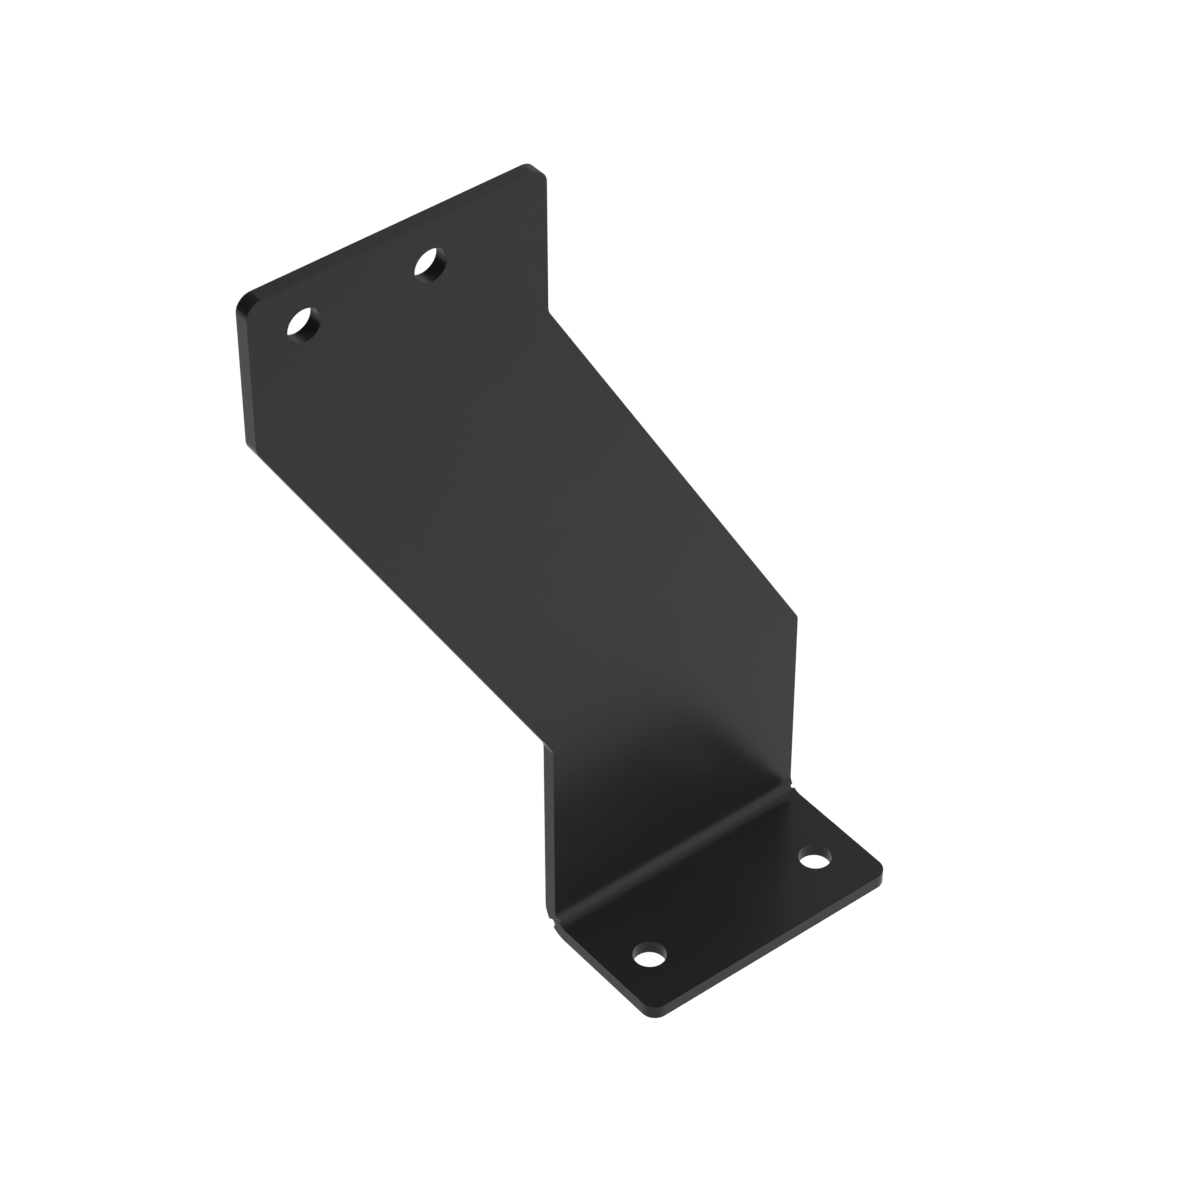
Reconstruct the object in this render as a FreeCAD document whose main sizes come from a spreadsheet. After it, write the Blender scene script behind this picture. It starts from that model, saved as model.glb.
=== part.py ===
"""Step bracket: one steel plate, cut with a sideways step and folded once.

Millimetres, +Z up. The origin is midway between the two bolt holes of the tab, on
the back face of the plate, which is the face that lies against the frame. Going
down, the plate steps sideways to +X, and at its foot it is folded forward to -Y.
"""
import FreeCAD, Part
import math
import os

import Sketcher

Vector = FreeCAD.Vector
Rotation = FreeCAD.Rotation
Placement = FreeCAD.Placement

# Each driving dimension: its name, its value and what it measures.
SIZES = (
    ("width", 100.0, "width of the tab, of the web under the step and of the flange"),
    ("thickness", 5.0, "thickness of the plate"),
    ("clear_height", 300.0, "from the flange's top face up to the tab's top edge"),
    ("tab_height", 50.0, "height of the straight tab above the step"),
    ("side_step", 100.0, "how far the plate steps sideways"),
    ("slant_angle", 30.0, "slanted edges from the vertical, in degrees"),
    ("flange_reach", 50.0, "from the web's front face to the flange's front edge"),
    ("bend_radius", 5.0, "inside radius of the fold"),
    ("corner_radius", 5.0, "outer corners of the tab and of the flange"),
    ("step_radius", 5.0, "the four corners of the sideways step"),
    ("bolt_diameter", 10.0, "bolt that passes through each hole"),
    ("bolt_clearance", 1.0, "hole diameter less bolt diameter"),
    ("tab_bolt_spacing", 42.0, "between the two holes of the tab"),
    ("tab_bolt_inset", 18.0, "from the tab's left edge to its nearer hole"),
    ("tab_bolt_drop", 15.0, "from the tab's top edge down to its holes"),
    ("flange_bolt_spacing", 70.0, "between the two holes of the flange"),
    ("flange_bolt_setback", 20.0, "from the flange's front edge back to its holes"),
    ("notch_radius", 1.0, "half-round notch in the flat plate, at each end of the fold line"),
    ("neutral_share", 0.38, "depth of the fold's neutral line, as a share of the thickness"),
)

# Places on the plate and sizes that follow from others, as the sheet's formulas.
TAB_LEFT = "(-Sizes.tab_bolt_inset - Sizes.tab_bolt_spacing / 2)"
WEB_LEFT = f"({TAB_LEFT} + Sizes.side_step)"
FLANGE_MIDDLE = f"({WEB_LEFT} + Sizes.width / 2)"
TAB_TOP = "(Sizes.tab_bolt_drop)"
TAB_FOOT = f"({TAB_TOP} - Sizes.tab_height)"
STEP_DROP = "(Sizes.side_step / tan(Sizes.slant_angle))"
FLANGE_TOP = f"({TAB_TOP} - Sizes.clear_height)"
FLANGE_FRONT = "(-Sizes.thickness - Sizes.flange_reach)"
FLANGE_BOLT_Y = f"({FLANGE_FRONT} + Sizes.flange_bolt_setback)"
FOLD_AXIS_Y = "(-Sizes.thickness - Sizes.bend_radius)"
FOLD_AXIS_Z = f"({FLANGE_TOP} + Sizes.bend_radius)"
FOLD_OUTSIDE = "(Sizes.bend_radius + Sizes.thickness)"
HOLE_RADIUS = "((Sizes.bolt_diameter + Sizes.bolt_clearance) / 2)"
NEUTRAL_RADIUS = "(Sizes.bend_radius + Sizes.neutral_share * Sizes.thickness)"
NOTCH_HALF_ANGLE = f"(Sizes.notch_radius / {NEUTRAL_RADIUS} * 180 / pi)"

FOLD_ANGLE = 90.0
# The notch's cutter starts this share inside the fold, and ends as far outside it.
NOTCH_OVERCUT = 0.1

# The ends and centre of a sketch's edges, and its origin, as constraints name them.
START, END, CENTRE = range(1, 4)
ORIGIN = (-1, START)


def add_sizes(doc):
    """Put the driving dimensions in a sheet, one named cell each."""
    sheet = doc.addObject("Spreadsheet::Sheet", "Sizes")
    for row, (name, value, meaning) in enumerate(SIZES, start=1):
        sheet.set(f"A{row}", name)
        sheet.set(f"B{row}", str(value))
        sheet.set(f"C{row}", meaning)
        sheet.setAlias(f"B{row}", name)
    doc.recompute()


def number(item, formula):
    """Work out one of the sheet's formulas."""
    return float(item.Document.Sizes.evalExpression(formula))


def datum(body, role):
    """One of the body's own origin planes or axes."""
    return next(item for item in body.Origin.OriginFeatures if item.Role == role)


def add_sketch(body, plane_role, name):
    """Start a sketch on one of the body's own origin planes."""
    sketch = body.newObject("Sketcher::SketchObject", name)
    sketch.AttachmentSupport = [(datum(body, plane_role), "")]
    sketch.MapMode = "FlatFace"
    return sketch


def rule(sketch, kind, *places):
    """Add a rule without a size, such as horizontal, tangent or equal."""
    sketch.addConstraint(Sketcher.Constraint(kind, *places))


def dimension(sketch, kind, *places, name, size):
    """Add a dimension whose value is bound to the sheet."""
    index = sketch.addConstraint(Sketcher.Constraint(kind, *places, number(sketch, size)))
    sketch.renameConstraint(index, name)
    sketch.setExpression(f"Constraints.{name}", size)


def add_line(sketch, start, end):
    """Draw a straight edge."""
    return sketch.addGeometry(Part.LineSegment(Vector(*start, 0), Vector(*end, 0)))


def add_pad(body, sketch, name, length):
    """Thicken a closed sketch along its own normal."""
    pad = body.newObject("PartDesign::Pad", name)
    pad.Profile = sketch
    pad.setExpression("Length", length)


def web_corners(body):
    """The upright plate's corners in X and Z, clockwise from the top left one."""
    left = number(body, TAB_LEFT)
    right = left + number(body, "Sizes.width")
    step = number(body, "Sizes.side_step")
    top = number(body, TAB_TOP)
    tab_foot = number(body, TAB_FOOT)
    step_foot = tab_foot - number(body, STEP_DROP)
    web_foot = number(body, FOLD_AXIS_Z)
    return {
        "top_left": (left, top),
        "top_right": (right, top),
        "step_top_right": (right, tab_foot),
        "step_foot_right": (right + step, step_foot),
        "web_foot_right": (right + step, web_foot),
        "web_foot_left": (left + step, web_foot),
        "step_foot_left": (left + step, step_foot),
        "step_top_left": (left, tab_foot),
    }


def add_web(body):
    """The upright plate: the tab, the slanted step, and the straight part down to the fold."""
    sketch = add_sketch(body, "XZ_Plane", "WebOutline")
    corners = list(web_corners(body).values())
    edges = [add_line(sketch, *pair) for pair in zip(corners, corners[1:] + corners[:1])]
    for edge, following in zip(edges, edges[1:] + edges[:1]):
        rule(sketch, "Coincident", edge, END, following, START)
    head, tab_right, _, web_right, foot, web_left, _, tab_left = edges
    for edge in (head, foot):
        rule(sketch, "Horizontal", edge)
    for edge in (tab_right, web_right, web_left, tab_left):
        rule(sketch, "Vertical", edge)
    rule(sketch, "Horizontal", tab_right, END, tab_left, START)
    rule(sketch, "Horizontal", web_right, START, web_left, END)
    dimension(sketch, "DistanceX", head, START, name="tab_left", size=TAB_LEFT)
    dimension(sketch, "DistanceY", head, START, name="tab_top", size=TAB_TOP)
    dimension(sketch, "DistanceX", head, START, head, END, name="tab_width", size="Sizes.width")
    dimension(sketch, "DistanceX", foot, END, foot, START, name="web_width", size="Sizes.width")
    dimension(sketch, "DistanceY", tab_left, START, head, START, name="tab_height", size="Sizes.tab_height")
    dimension(sketch, "DistanceX", head, START, foot, END, name="side_step", size="Sizes.side_step")
    dimension(sketch, "DistanceY", web_left, END, tab_left, START, name="step_drop", size=STEP_DROP)
    dimension(sketch, "DistanceY", foot, END, name="web_foot", size=FOLD_AXIS_Z)
    add_pad(body, sketch, "Web", "Sizes.thickness")


def add_fold_and_flange(body):
    """The quarter-round fold at the web's foot, and the flat flange in front of it."""
    sketch = add_sketch(body, "YZ_Plane", "FoldProfile")
    sketch.setExpression(".AttachmentOffset.Base.z", WEB_LEFT)
    axis = Vector(number(sketch, FOLD_AXIS_Y), number(sketch, FOLD_AXIS_Z), 0)
    inside_radius = number(sketch, "Sizes.bend_radius")
    outside_radius = number(sketch, FOLD_OUTSIDE)
    front = number(sketch, FLANGE_FRONT)
    top = axis.y - inside_radius
    bottom = axis.y - outside_radius

    def add_quarter(radius):
        circle = Part.Circle(axis, Vector(0, 0, 1), radius)
        return sketch.addGeometry(Part.ArcOfCircle(circle, math.radians(-FOLD_ANGLE), 0))

    outside = add_quarter(outside_radius)
    underside = add_line(sketch, (axis.x, bottom), (front, bottom))
    front_edge = add_line(sketch, (front, bottom), (front, top))
    top_face = add_line(sketch, (front, top), (axis.x, top))
    inside = add_quarter(inside_radius)
    seam = add_line(sketch, (axis.x + inside_radius, axis.y), (axis.x + outside_radius, axis.y))
    rule(sketch, "Tangent", outside, START, underside, START)
    rule(sketch, "Coincident", underside, END, front_edge, START)
    rule(sketch, "Coincident", front_edge, END, top_face, START)
    rule(sketch, "Tangent", top_face, END, inside, START)
    rule(sketch, "Coincident", inside, END, seam, START)
    rule(sketch, "Coincident", seam, END, outside, END)
    rule(sketch, "Coincident", inside, CENTRE, outside, CENTRE)
    rule(sketch, "Horizontal", underside)
    rule(sketch, "Vertical", front_edge)
    rule(sketch, "Horizontal", top_face)
    rule(sketch, "Horizontal", outside, CENTRE, outside, END)
    rule(sketch, "Horizontal", seam)
    dimension(sketch, "DistanceX", outside, CENTRE, name="axis_y", size=FOLD_AXIS_Y)
    dimension(sketch, "DistanceY", outside, CENTRE, name="axis_z", size=FOLD_AXIS_Z)
    dimension(sketch, "Radius", inside, name="inside_radius", size="Sizes.bend_radius")
    dimension(sketch, "Radius", outside, name="outside_radius", size=FOLD_OUTSIDE)
    dimension(sketch, "DistanceX", front_edge, START, name="flange_front", size=FLANGE_FRONT)
    add_pad(body, sketch, "FoldAndFlange", "Sizes.width")


def add_bolt_holes(body, name, plane_role, middle, level, spacing, from_behind):
    """A pair of bolt holes, side by side about their middle, right through the plate."""
    sketch = add_sketch(body, plane_role, f"{name}Sketch")
    half_spacing = number(sketch, spacing) / 2

    def add_hole(offset):
        centre = Vector(number(sketch, middle) + offset, number(sketch, level), 0)
        return sketch.addGeometry(Part.Circle(centre, Vector(0, 0, 1), number(sketch, HOLE_RADIUS)))

    left = add_hole(-half_spacing)
    right = add_hole(half_spacing)
    dimension(sketch, "DistanceX", left, CENTRE, name="left_hole", size=f"{middle} - {spacing} / 2")
    dimension(sketch, "DistanceX", left, CENTRE, right, CENTRE, name="spacing", size=spacing)
    dimension(sketch, "DistanceY", left, CENTRE, name="level", size=level)
    rule(sketch, "Horizontal", left, CENTRE, right, CENTRE)
    dimension(sketch, "Radius", left, name="hole_radius", size=HOLE_RADIUS)
    rule(sketch, "Equal", left, right)
    pocket = body.newObject("PartDesign::Pocket", name)
    pocket.Profile = sketch
    pocket.Type = "ThroughAll"
    pocket.Reversed = from_behind


def add_half_oval(sketch, across, around):
    """Draw half an oval about the sketch's origin, reaching out to +X, with its ends on the Y axis."""
    reach = number(sketch, across)
    half_height = number(sketch, around)
    if reach > half_height:
        oval = Part.Ellipse(Vector(reach, 0, 0), Vector(0, half_height, 0), Vector())
        long_way, long_size, short_size, first_angle = "Horizontal", across, around, -math.pi / 2
    else:
        oval = Part.Ellipse(Vector(0, half_height, 0), Vector(-reach, 0, 0), Vector())
        long_way, long_size, short_size, first_angle = "Vertical", around, across, -math.pi
    half_oval = sketch.addGeometry(Part.ArcOfEllipse(oval, first_angle, first_angle + math.pi))
    sketch.exposeInternalGeometry(half_oval)
    long_axis, short_axis = half_oval + 1, half_oval + 2
    rule(sketch, "Coincident", half_oval, CENTRE, *ORIGIN)
    rule(sketch, long_way, long_axis)
    dimension(sketch, "Distance", half_oval, CENTRE, long_axis, START, name="long_half", size=long_size)
    dimension(sketch, "Distance", half_oval, CENTRE, short_axis, START, name="short_half", size=short_size)
    for end in (START, END):
        rule(sketch, "Vertical", half_oval, end, *ORIGIN)
    return half_oval


def add_notch_section(body, name, from_axis):
    """One section of the notch's cutter, square to the radius through the fold's middle.

    Half an oval reaches into the plate, and straight edges close it outside the plate.
    """
    sketch = add_sketch(body, "XY_Plane", name)
    half_fold = FOLD_ANGLE / 2
    sketch.AttachmentOffset = Placement(Vector(), Rotation(Vector(1, 0, 0), half_fold))
    sketch.setExpression(".AttachmentOffset.Base.x", WEB_LEFT)
    sketch.setExpression(".AttachmentOffset.Base.y", f"{FOLD_AXIS_Y} + {from_axis} * cos({half_fold})")
    sketch.setExpression(".AttachmentOffset.Base.z", f"{FOLD_AXIS_Z} - {from_axis} * sin({half_fold})")
    across = "Sizes.notch_radius"
    around = f"({from_axis} * tan({NOTCH_HALF_ANGLE}))"
    depth = number(sketch, across)
    half_width = number(sketch, around)
    half_oval = add_half_oval(sketch, across, around)
    upper = add_line(sketch, (0, half_width), (-depth, half_width))
    outer = add_line(sketch, (-depth, half_width), (-depth, -half_width))
    lower = add_line(sketch, (-depth, -half_width), (0, -half_width))
    rule(sketch, "Coincident", half_oval, END, upper, START)
    rule(sketch, "Coincident", upper, END, outer, START)
    rule(sketch, "Coincident", outer, END, lower, START)
    rule(sketch, "Coincident", lower, END, half_oval, START)
    rule(sketch, "Horizontal", upper)
    rule(sketch, "Vertical", outer)
    rule(sketch, "Horizontal", lower)
    dimension(sketch, "DistanceX", outer, START, half_oval, CENTRE, name="outside", size=across)
    return sketch


def add_fold_notches(body):
    """The half-round notch at each end of the fold line.

    It is cut in the flat plate, so on the fold its sides lie along radii.
    """
    loft = body.newObject("PartDesign::SubtractiveLoft", "FoldNotch")
    loft.Profile = add_notch_section(body, "NotchInside", f"(Sizes.bend_radius * (1 - {NOTCH_OVERCUT}))")
    loft.Sections = [add_notch_section(body, "NotchOutside", f"({FOLD_OUTSIDE} * (1 + {NOTCH_OVERCUT}))")]
    loft.Ruled = True
    middle = body.newObject("PartDesign::Plane", "FlangeMiddle")
    middle.AttachmentSupport = [(datum(body, "YZ_Plane"), "")]
    middle.MapMode = "FlatFace"
    middle.setExpression(".AttachmentOffset.Base.z", FLANGE_MIDDLE)
    body.Document.recompute()
    pair = body.newObject("PartDesign::Mirrored", "FoldNotches")
    pair.Originals = [loft]
    pair.MirrorPlane = (middle, [""])
    body.Tip = pair


def edge_at(shape, point):
    """The name of the edge whose middle is at a point."""
    edges = {f"Edge{index}": edge for index, edge in enumerate(shape.Edges, start=1)}
    return min(edges, key=lambda name: (edges[name].BoundBox.Center - point).Length)


def add_rounds(body, name, radius, points):
    """Round the corners whose short edges, through the plate, have their middles at the points."""
    base = body.Tip
    body.Document.recompute()
    rounds = body.newObject("PartDesign::Fillet", name)
    rounds.Base = (base, [edge_at(base.Shape, point) for point in points])
    rounds.setExpression("Radius", radius)
    body.Tip = rounds


def add_all_rounds(body):
    """Round the four outer corners of the plate, and the four corners of the step."""
    half_thickness = number(body, "Sizes.thickness") / 2
    web = {name: Vector(x, -half_thickness, z) for name, (x, z) in web_corners(body).items()}
    front = number(body, FLANGE_FRONT)
    flange_middle = number(body, FLANGE_TOP) - half_thickness
    flange = [Vector(web[name].x, front, flange_middle) for name in ("web_foot_left", "web_foot_right")]
    step = [corner for name, corner in web.items() if name.startswith("step")]
    add_rounds(body, "CornerRounds", "Sizes.corner_radius", [web["top_left"], web["top_right"], *flange])
    add_rounds(body, "StepRounds", "Sizes.step_radius", step)


def check(doc, body):
    """Stop if a feature failed, a sketch is loose, a solid is unsound or a cut took nothing away."""
    for item in doc.Objects:
        if "Invalid" in item.State or "Error" in item.State:
            raise RuntimeError(f"{item.Name} is {item.State}")
        if item.isDerivedFrom("Sketcher::SketchObject") and not item.FullyConstrained:
            raise RuntimeError(f"{item.Name} isn't fully constrained")
    if body.Shape.isNull() or not body.Shape.isValid() or len(body.Shape.Solids) != 1:
        raise RuntimeError("the bracket isn't one sound solid")
    for cut in (doc.TabHoles, doc.FlangeHoles, doc.FoldNotch, doc.FoldNotches):
        if cut.Shape.Volume >= cut.BaseFeature.Shape.Volume:
            raise RuntimeError(f"{cut.Name} takes nothing away")


def main():
    """Build the bracket, check it and write its file."""
    doc = FreeCAD.newDocument("StepBracket")
    add_sizes(doc)
    body = doc.addObject("PartDesign::Body", "StepBracket")
    body.Label = "step_bracket"
    body.Placement = Placement()
    add_web(body)
    add_fold_and_flange(body)
    tab_bolts = ("0", "0", "Sizes.tab_bolt_spacing")
    flange_bolts = (FLANGE_MIDDLE, FLANGE_BOLT_Y, "Sizes.flange_bolt_spacing")
    add_bolt_holes(body, "TabHoles", "XZ_Plane", *tab_bolts, from_behind=True)
    add_bolt_holes(body, "FlangeHoles", "XY_Plane", *flange_bolts, from_behind=False)
    add_fold_notches(body)
    add_all_rounds(body)
    doc.recompute()
    check(doc, body)
    os.makedirs("parts", exist_ok=True)
    body.Shape.exportStep(f"parts/{body.Label}.step")


main()
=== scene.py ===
"""Step bracket: a steel plate with a sideways step and a folded foot, coated satin black."""

import math

import bpy
from bpy.props import FloatProperty, FloatVectorProperty, PointerProperty
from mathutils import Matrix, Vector


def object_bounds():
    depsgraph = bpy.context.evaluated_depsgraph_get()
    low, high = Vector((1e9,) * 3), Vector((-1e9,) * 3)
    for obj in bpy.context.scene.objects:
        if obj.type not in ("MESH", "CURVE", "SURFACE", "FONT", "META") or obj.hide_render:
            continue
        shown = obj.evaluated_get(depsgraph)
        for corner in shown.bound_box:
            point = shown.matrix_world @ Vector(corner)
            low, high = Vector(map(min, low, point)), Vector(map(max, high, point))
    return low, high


bl_info = {
    "name": "Step bracket",
    "version": (1, 0, 0),
    "blender": (4, 5, 0),
    "location": "3D View > Sidebar > Step bracket",
    "description": "Coats a folded step bracket satin black and sets up a plain studio round it",
    "category": "Object",
}

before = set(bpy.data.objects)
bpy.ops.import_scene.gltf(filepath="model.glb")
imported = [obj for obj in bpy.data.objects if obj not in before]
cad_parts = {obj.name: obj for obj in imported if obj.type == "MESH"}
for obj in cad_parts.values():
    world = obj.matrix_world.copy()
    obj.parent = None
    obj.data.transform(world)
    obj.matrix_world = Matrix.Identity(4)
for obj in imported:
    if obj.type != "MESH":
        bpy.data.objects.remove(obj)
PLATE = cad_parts["step_bracket"]
CAD_LOW, CAD_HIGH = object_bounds()

# The point in the middle of the camera's picture, in metres. The lamps face it too
AIM_POINT = Vector((0.064118, -0.024352, -0.132634))


# What a user would change


class CoatSettings(bpy.types.PropertyGroup):
    """The black powder coat on the plate."""

    colour: FloatVectorProperty(
        name="Coat colour",
        description="Colour of the powder coat",
        subtype="COLOR",
        size=3,
        min=0.0,
        max=1.0,
        default=(0.0146, 0.0153, 0.0169),
    )
    roughness: FloatProperty(
        name="Satin",
        description="Roughness of the coat, from 0 for gloss to 1 for matt",
        subtype="FACTOR",
        min=0.0,
        max=1.0,
        default=0.30,
    )
    reflection: FloatProperty(
        name="Reflection",
        description="Specular level of the coat, where 0.5 is a plain lacquer",
        subtype="FACTOR",
        min=0.0,
        max=1.0,
        default=0.178,
    )
    reflection_tint: FloatVectorProperty(
        name="Reflection tint",
        description="Tint of what the coat mirrors, a trace of blue",
        subtype="COLOR",
        size=3,
        min=0.0,
        max=1.0,
        default=(0.92, 0.955, 1.0),
    )
    peel_size: FloatProperty(
        name="Orange peel size",
        description="Distance from one ripple of the coat to the next",
        subtype="DISTANCE",
        unit="LENGTH",
        min=0.0002,
        max=0.01,
        default=0.0016,
    )
    peel_depth: FloatProperty(
        name="Orange peel depth",
        description="Height of the coat's ripples",
        subtype="DISTANCE",
        unit="LENGTH",
        min=0.0,
        max=0.0002,
        default=0.000004,
    )
    grain_size: FloatProperty(
        name="Grain size",
        description="Distance between the fine grains that the powder leaves",
        subtype="DISTANCE",
        unit="LENGTH",
        min=0.0001,
        max=0.005,
        default=0.0004,
    )
    cloud_size: FloatProperty(
        name="Cloud size",
        description="Size of the patches where the coat lies a little thicker or thinner",
        subtype="DISTANCE",
        unit="LENGTH",
        min=0.005,
        max=0.5,
        default=0.035,
    )


class CameraSettings(bpy.types.PropertyGroup):
    """The camera at the photograph's viewing angle."""

    azimuth: FloatProperty(
        name="Azimuth",
        description="Angle of the camera round the bracket, from the front",
        subtype="ANGLE",
        default=math.radians(-38.528),
    )
    elevation: FloatProperty(
        name="Elevation",
        description="Angle of the camera above the horizon",
        subtype="ANGLE",
        default=math.radians(42.155),
    )
    distance: FloatProperty(
        name="Distance",
        description="Distance from the camera to the middle of its picture",
        subtype="DISTANCE",
        unit="LENGTH",
        min=0.1,
        default=1.18152,
    )
    lens: FloatProperty(
        name="Lens",
        description="Focal length on a sensor 36 mm wide",
        unit="CAMERA",
        min=1.0,
        default=120.03,
    )


class StudioSettings(bpy.types.PropertyGroup):
    """The floor, the dome of light and the lamps."""

    floor_colour: FloatVectorProperty(
        name="Floor colour",
        description="Colour of the plain floor",
        subtype="COLOR",
        size=3,
        min=0.0,
        max=1.0,
        default=(0.80, 0.80, 0.80),
    )
    floor_gap: FloatProperty(
        name="Floor gap",
        description="Height of the bracket's foot above the floor",
        subtype="DISTANCE",
        unit="LENGTH",
        min=0.0,
        default=0.35,
    )
    floor_lift: FloatProperty(
        name="Floor lift",
        description="What the floor's picture adds to its lit colour to come up to white",
        subtype="FACTOR",
        min=0.0,
        max=1.0,
        default=0.315,
    )
    dome_level: FloatProperty(
        name="Dome level",
        description="Even light from all round",
        min=0.0,
        default=0.45,
    )
    key_level: FloatProperty(
        name="Key lamp level",
        description="Light from the large low lamp in front on the right, which the coat mirrors",
        min=0.0,
        default=0.36,
    )
    fill_level: FloatProperty(
        name="Fill lamp level",
        description="Light from the smaller high lamp on the right, which casts the clearer shadow",
        min=0.0,
        default=0.58,
    )
    black_card: FloatProperty(
        name="Black card",
        description="Brightness of the large card that the coat mirrors, behind on the left",
        subtype="FACTOR",
        min=0.0,
        max=1.0,
        default=0.04,
    )
    black_card_radius: FloatProperty(
        name="Black card radius",
        description="Angle from the middle of the large card to its edge",
        subtype="ANGLE",
        default=math.radians(57.0),
    )
    grey_card: FloatProperty(
        name="Grey card",
        description="Brightness of the small card that the coat mirrors, behind on the right",
        subtype="FACTOR",
        min=0.0,
        max=1.0,
        default=0.15,
    )
    grey_card_radius: FloatProperty(
        name="Grey card radius",
        description="Angle from the middle of the small card to its edge",
        subtype="ANGLE",
        default=math.radians(14.0),
    )


# Shader helpers


def start_tree(owner):
    """Empties the node tree of a material or a world, and returns it."""
    owner.use_nodes = True
    owner.node_tree.nodes.clear()
    return owner.node_tree


def feed(tree, socket, value):
    """Gives an input a plain value, or links another node's output to it."""
    if isinstance(value, bpy.types.NodeSocket):
        tree.links.new(value, socket)
    else:
        socket.default_value = value


def add_math(tree, operation, *values, clamp=False):
    """Adds a Math node, fed by sockets or plain numbers, and returns its output."""
    node = tree.nodes.new("ShaderNodeMath")
    node.operation = operation
    node.use_clamp = clamp
    for socket, value in zip(node.inputs, values):
        feed(tree, socket, value)
    return node.outputs["Value"]


def add_mix(tree, share, first, second):
    """Mixes two shaders, and returns the result."""
    node = tree.nodes.new("ShaderNodeMixShader")
    for socket, value in zip(node.inputs, (share, first, second)):
        feed(tree, socket, value)
    return node.outputs["Shader"]


def add_ray_mask(tree, *kinds):
    """1 for rays of the kinds named, as the Light Path node names them, and 0 for others."""
    path = tree.nodes.new("ShaderNodeLightPath")
    mask = path.outputs[kinds[0]]
    for kind in kinds[1:]:
        mask = add_math(tree, "ADD", mask, path.outputs[kind], clamp=True)
    return mask


# The powder coat

# Where most of a noise pattern's values lie. The rest count as the nearer end
NOISE_LOW, NOISE_HIGH = 0.3, 0.7
# How far the clouds change the coat's shade, as a share, and its roughness
SHADE_SPREAD = 0.06
GLOSS_SPREAD = 0.015
# How far the grain changes the roughness, and its height as a share of the ripples'
SPECKLE_SPREAD = 0.012
GRAIN_SHARE = 0.15
# The noise patterns' layers of detail, and how strong the ripples' finer layer is
CLOUD_DETAIL = 3.0
PEEL_DETAIL = 1.5
PEEL_FINENESS = 0.4
GRAIN_DETAIL = 1.0


def add_noise(tree, place, size, detail, fineness=0.5):
    """Adds a noise pattern whose ripples are about size apart, in metres."""
    node = tree.nodes.new("ShaderNodeTexNoise")
    node.inputs["Scale"].default_value = 1.0 / size
    node.inputs["Detail"].default_value = detail
    node.inputs["Roughness"].default_value = fineness
    tree.links.new(place, node.inputs["Vector"])
    return node.outputs["Fac"]


def add_range(tree, noise, low, high):
    """Spreads a noise pattern over the range from low to high."""
    node = tree.nodes.new("ShaderNodeMapRange")
    node.inputs["From Min"].default_value = NOISE_LOW
    node.inputs["From Max"].default_value = NOISE_HIGH
    node.inputs["To Min"].default_value = low
    node.inputs["To Max"].default_value = high
    tree.links.new(noise, node.inputs["Value"])
    return node.outputs["Result"]


def make_black_coat(coat):
    """Satin black powder coat: fine ripples and grain, and a little unevenness in shade and gloss."""
    material = bpy.data.materials.new("satin_black_powder_coat")
    tree = start_tree(material)
    output = tree.nodes.new("ShaderNodeOutputMaterial")
    shader = tree.nodes.new("ShaderNodeBsdfPrincipled")
    tree.links.new(shader.outputs["BSDF"], output.inputs["Surface"])
    shader.inputs["Specular IOR Level"].default_value = coat.reflection
    shader.inputs["Specular Tint"].default_value = (*coat.reflection_tint, 1.0)

    place = tree.nodes.new("ShaderNodeTexCoord").outputs["Object"]
    clouds = add_noise(tree, place, coat.cloud_size, CLOUD_DETAIL)
    ripples = add_noise(tree, place, coat.peel_size, PEEL_DETAIL, PEEL_FINENESS)
    grain = add_noise(tree, place, coat.grain_size, GRAIN_DETAIL)

    shade = tree.nodes.new("ShaderNodeMix")
    shade.data_type = "RGBA"
    for name, share in (("A", 1.0 - SHADE_SPREAD), ("B", 1.0 + SHADE_SPREAD)):
        shade.inputs[name].default_value = (*[share * part for part in coat.colour], 1.0)
    tree.links.new(add_range(tree, clouds, 0.0, 1.0), shade.inputs["Factor"])
    tree.links.new(shade.outputs["Result"], shader.inputs["Base Color"])

    gloss = add_range(tree, clouds, coat.roughness - GLOSS_SPREAD, coat.roughness + GLOSS_SPREAD)
    speckle = add_range(tree, grain, -SPECKLE_SPREAD, SPECKLE_SPREAD)
    tree.links.new(add_math(tree, "ADD", gloss, speckle), shader.inputs["Roughness"])

    peel = tree.nodes.new("ShaderNodeBump")
    peel.inputs["Strength"].default_value = 1.0
    peel.inputs["Distance"].default_value = coat.peel_depth
    height = add_math(tree, "MULTIPLY_ADD", grain, GRAIN_SHARE, ripples)
    tree.links.new(height, peel.inputs["Height"])
    tree.links.new(peel.outputs["Normal"], shader.inputs["Normal"])
    return material


class CoatPlate(bpy.types.Operator):
    """Coats the plate satin black"""

    bl_idname = "step_bracket.coat_plate"
    bl_label = "Coat the plate"
    bl_options = {"REGISTER", "UNDO"}

    def execute(self, context):
        coat = make_black_coat(context.scene.step_bracket_coat)
        for slot in PLATE.material_slots:
            slot.material = coat
        return {"FINISHED"}


# The camera

SENSOR_WIDTH_MM = 36.0
# The nearest and farthest that the camera sees, in metres
CLIP_START, CLIP_END = 0.05, 50.0


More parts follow.
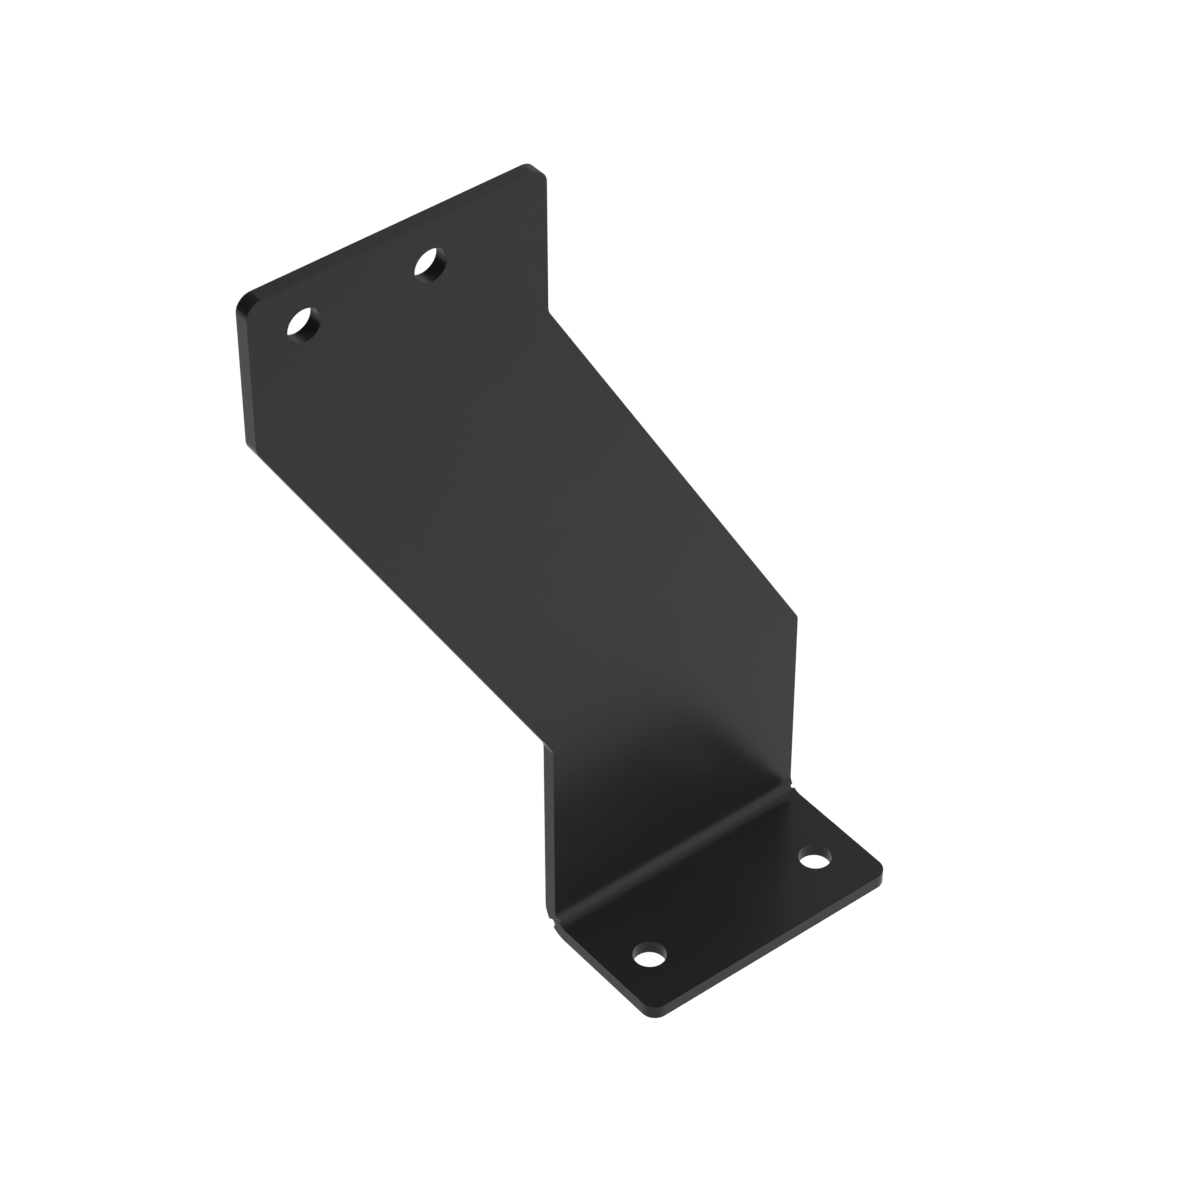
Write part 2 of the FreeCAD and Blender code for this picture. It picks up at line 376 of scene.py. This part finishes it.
class PlaceCamera(bpy.types.Operator):
    """Sets the camera at the photograph's viewing angle"""

    bl_idname = "step_bracket.place_camera"
    bl_label = "Place the camera"
    bl_options = {"REGISTER", "UNDO"}

    def execute(self, context):
        settings = context.scene.step_bracket_camera
        camera = bpy.data.objects.new("camera", bpy.data.cameras.new("camera"))
        context.scene.collection.objects.link(camera)
        camera.data.sensor_width = SENSOR_WIDTH_MM
        camera.data.lens = settings.lens
        camera.data.clip_start = CLIP_START
        camera.data.clip_end = CLIP_END
        level = math.cos(settings.elevation)
        towards_camera = Vector((
            math.sin(settings.azimuth) * level,
            -math.cos(settings.azimuth) * level,
            math.sin(settings.elevation),
        ))
        camera.location = AIM_POINT + towards_camera * settings.distance
        camera.rotation_euler = (math.pi / 2 - settings.elevation, 0.0, settings.azimuth)
        context.scene.camera = camera
        return {"FINISHED"}


# The studio

WHITE = (1.0, 1.0, 1.0, 1.0)
# From the middle of the floor to its edges, in metres
FLOOR_HALF = 2.0
# Where the dark cards stand in the dome, seen from the bracket, and half the width of their soft edge
BLACK_CARD_DIRECTION = Vector((-0.556, 0.580, 0.596)).normalized()
GREY_CARD_DIRECTION = Vector((0.80, 0.58, -0.20)).normalized()
CARD_BLUR = math.radians(8.0)
# Each lamp's direction from the bracket, its distance and the length of its sides, in metres
KEY_LAMP = (Vector((0.45, -0.82, 0.35)).normalized(), 14.0, 15.0)
FILL_LAMP = (Vector((0.56, -0.47, 0.68)).normalized(), 16.0, 5.1)


def make_floor_material(studio):
    """Pale floor: it takes the bracket's shadow, and its picture is lifted to white."""
    material = bpy.data.materials.new("pale_floor")
    tree = start_tree(material)
    output = tree.nodes.new("ShaderNodeOutputMaterial")
    paint = tree.nodes.new("ShaderNodeBsdfDiffuse")
    paint.inputs["Color"].default_value = (*studio.floor_colour, 1.0)
    lift = tree.nodes.new("ShaderNodeEmission")
    seen = add_ray_mask(tree, "Is Camera Ray", "Is Glossy Ray", "Is Transmission Ray")
    tree.links.new(add_math(tree, "MULTIPLY", seen, studio.floor_lift), lift.inputs["Strength"])
    top = tree.nodes.new("ShaderNodeAddShader")
    tree.links.new(paint.outputs["BSDF"], top.inputs[0])
    tree.links.new(lift.outputs["Emission"], top.inputs[1])
    # From below the floor is clear, so that the foot's underside can be looked at
    clear = tree.nodes.new("ShaderNodeBsdfTransparent").outputs["BSDF"]
    below = tree.nodes.new("ShaderNodeNewGeometry").outputs["Backfacing"]
    tree.links.new(add_mix(tree, below, top.outputs["Shader"], clear), output.inputs["Surface"])
    return material


def make_floor(context, studio):
    """A large flat floor below the bracket's foot."""
    height = CAD_LOW.z - studio.floor_gap
    corners = [
        (side * FLOOR_HALF, end * FLOOR_HALF, height)
        for side, end in ((-1, -1), (1, -1), (1, 1), (-1, 1))
    ]
    mesh = bpy.data.meshes.new("floor")
    mesh.from_pydata(corners, [], [(0, 1, 2, 3)])
    floor = bpy.data.objects.new("floor", mesh)
    context.scene.collection.objects.link(floor)
    mesh.materials.append(make_floor_material(studio))


def add_card(tree, direction, middle, radius, level):
    """1 off a round card in the dome, and its level on it, with a soft edge."""
    facing = tree.nodes.new("ShaderNodeVectorMath")
    facing.operation = "DOT_PRODUCT"
    facing.inputs[1].default_value = middle
    tree.links.new(direction, facing.inputs[0])
    card = tree.nodes.new("ShaderNodeMapRange")
    card.interpolation_type = "SMOOTHSTEP"
    card.inputs["From Min"].default_value = math.cos(radius + CARD_BLUR)
    card.inputs["From Max"].default_value = math.cos(radius - CARD_BLUR)
    card.inputs["To Min"].default_value = 1.0
    card.inputs["To Max"].default_value = level
    tree.links.new(facing.outputs["Value"], card.inputs["Value"])
    return card.outputs["Result"]


def add_sky(tree, strength):
    """Adds a white Background of that strength, a number or a socket, and returns its output."""
    node = tree.nodes.new("ShaderNodeBackground")
    node.inputs["Color"].default_value = WHITE
    feed(tree, node.inputs["Strength"], strength)
    return node.outputs["Background"]


def make_dome(context, studio):
    """Even light from all round, mirrored as white with two dark cards, and seen as white."""
    world = bpy.data.worlds.new("studio_dome")
    context.scene.world = world
    tree = start_tree(world)
    direction = tree.nodes.new("ShaderNodeTexCoord").outputs["Generated"]
    black = add_card(
        tree, direction, BLACK_CARD_DIRECTION, studio.black_card_radius, studio.black_card
    )
    grey = add_card(
        tree, direction, GREY_CARD_DIRECTION, studio.grey_card_radius, studio.grey_card
    )
    light = add_sky(tree, studio.dome_level)
    mirrored = add_sky(tree, add_math(tree, "MULTIPLY", black, grey))
    white = add_sky(tree, 1.0)
    in_coat = add_mix(tree, add_ray_mask(tree, "Is Glossy Ray"), light, mirrored)
    seen = add_ray_mask(tree, "Is Camera Ray", "Is Transmission Ray")
    output = tree.nodes.new("ShaderNodeOutputWorld")
    tree.links.new(add_mix(tree, seen, in_coat, white), output.inputs["Surface"])


def make_lamp(context, name, direction, distance, size, level, mirrored):
    """A square lamp that faces the bracket. At level 1 a small one would light a white face to white."""
    data = bpy.data.lights.new(name, "AREA")
    data.shape = "SQUARE"
    data.size = size
    data.energy = level * (math.pi * distance) ** 2
    lamp = bpy.data.objects.new(name, data)
    context.scene.collection.objects.link(lamp)
    lamp.location = AIM_POINT + direction * distance
    lamp.rotation_euler = direction.to_track_quat("Z", "Y").to_euler()
    lamp.visible_camera = False
    lamp.visible_glossy = mirrored


class BuildStage(bpy.types.Operator):
    """Makes the floor, the dome of light and the lamps"""

    bl_idname = "step_bracket.build_stage"
    bl_label = "Build the stage"
    bl_options = {"REGISTER", "UNDO"}

    def execute(self, context):
        studio = context.scene.step_bracket_studio
        context.scene.view_settings.view_transform = "Standard"
        make_floor(context, studio)
        make_dome(context, studio)
        make_lamp(context, "key_lamp", *KEY_LAMP, level=studio.key_level, mirrored=True)
        make_lamp(context, "fill_lamp", *FILL_LAMP, level=studio.fill_level, mirrored=False)
        return {"FINISHED"}


# The panel and the add-on


class StepBracketPanel(bpy.types.Panel):
    """The settings and the buttons of the step bracket and its studio."""

    bl_idname = "VIEW3D_PT_step_bracket"
    bl_label = "Step bracket"
    bl_space_type = "VIEW_3D"
    bl_region_type = "UI"
    bl_category = "Step bracket"

    def draw(self, context):
        scene = context.scene
        for title, settings, operator in (
            ("Powder coat", scene.step_bracket_coat, CoatPlate),
            ("Camera", scene.step_bracket_camera, PlaceCamera),
            ("Stage", scene.step_bracket_studio, BuildStage),
        ):
            box = self.layout.box()
            box.label(text=title)
            for prop in settings.bl_rna.properties:
                if not prop.is_readonly and prop.identifier != "name":
                    box.prop(settings, prop.identifier)
            box.operator(operator.bl_idname)


CLASSES = (
    CoatSettings,
    CameraSettings,
    StudioSettings,
    CoatPlate,
    PlaceCamera,
    BuildStage,
    StepBracketPanel,
)


def register():
    """Adds the classes to Blender, and the settings to its scenes."""
    for cls in CLASSES:
        bpy.utils.register_class(cls)
    bpy.types.Scene.step_bracket_coat = PointerProperty(type=CoatSettings)
    bpy.types.Scene.step_bracket_camera = PointerProperty(type=CameraSettings)
    bpy.types.Scene.step_bracket_studio = PointerProperty(type=StudioSettings)


def unregister():
    """Takes away what register added."""
    del bpy.types.Scene.step_bracket_studio
    del bpy.types.Scene.step_bracket_camera
    del bpy.types.Scene.step_bracket_coat
    for cls in reversed(CLASSES):
        bpy.utils.unregister_class(cls)


def main():
    """Coats the plate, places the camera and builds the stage."""
    register()
    bpy.ops.step_bracket.coat_plate()
    bpy.ops.step_bracket.place_camera()
    bpy.ops.step_bracket.build_stage()


if __name__ == "__main__":
    main()
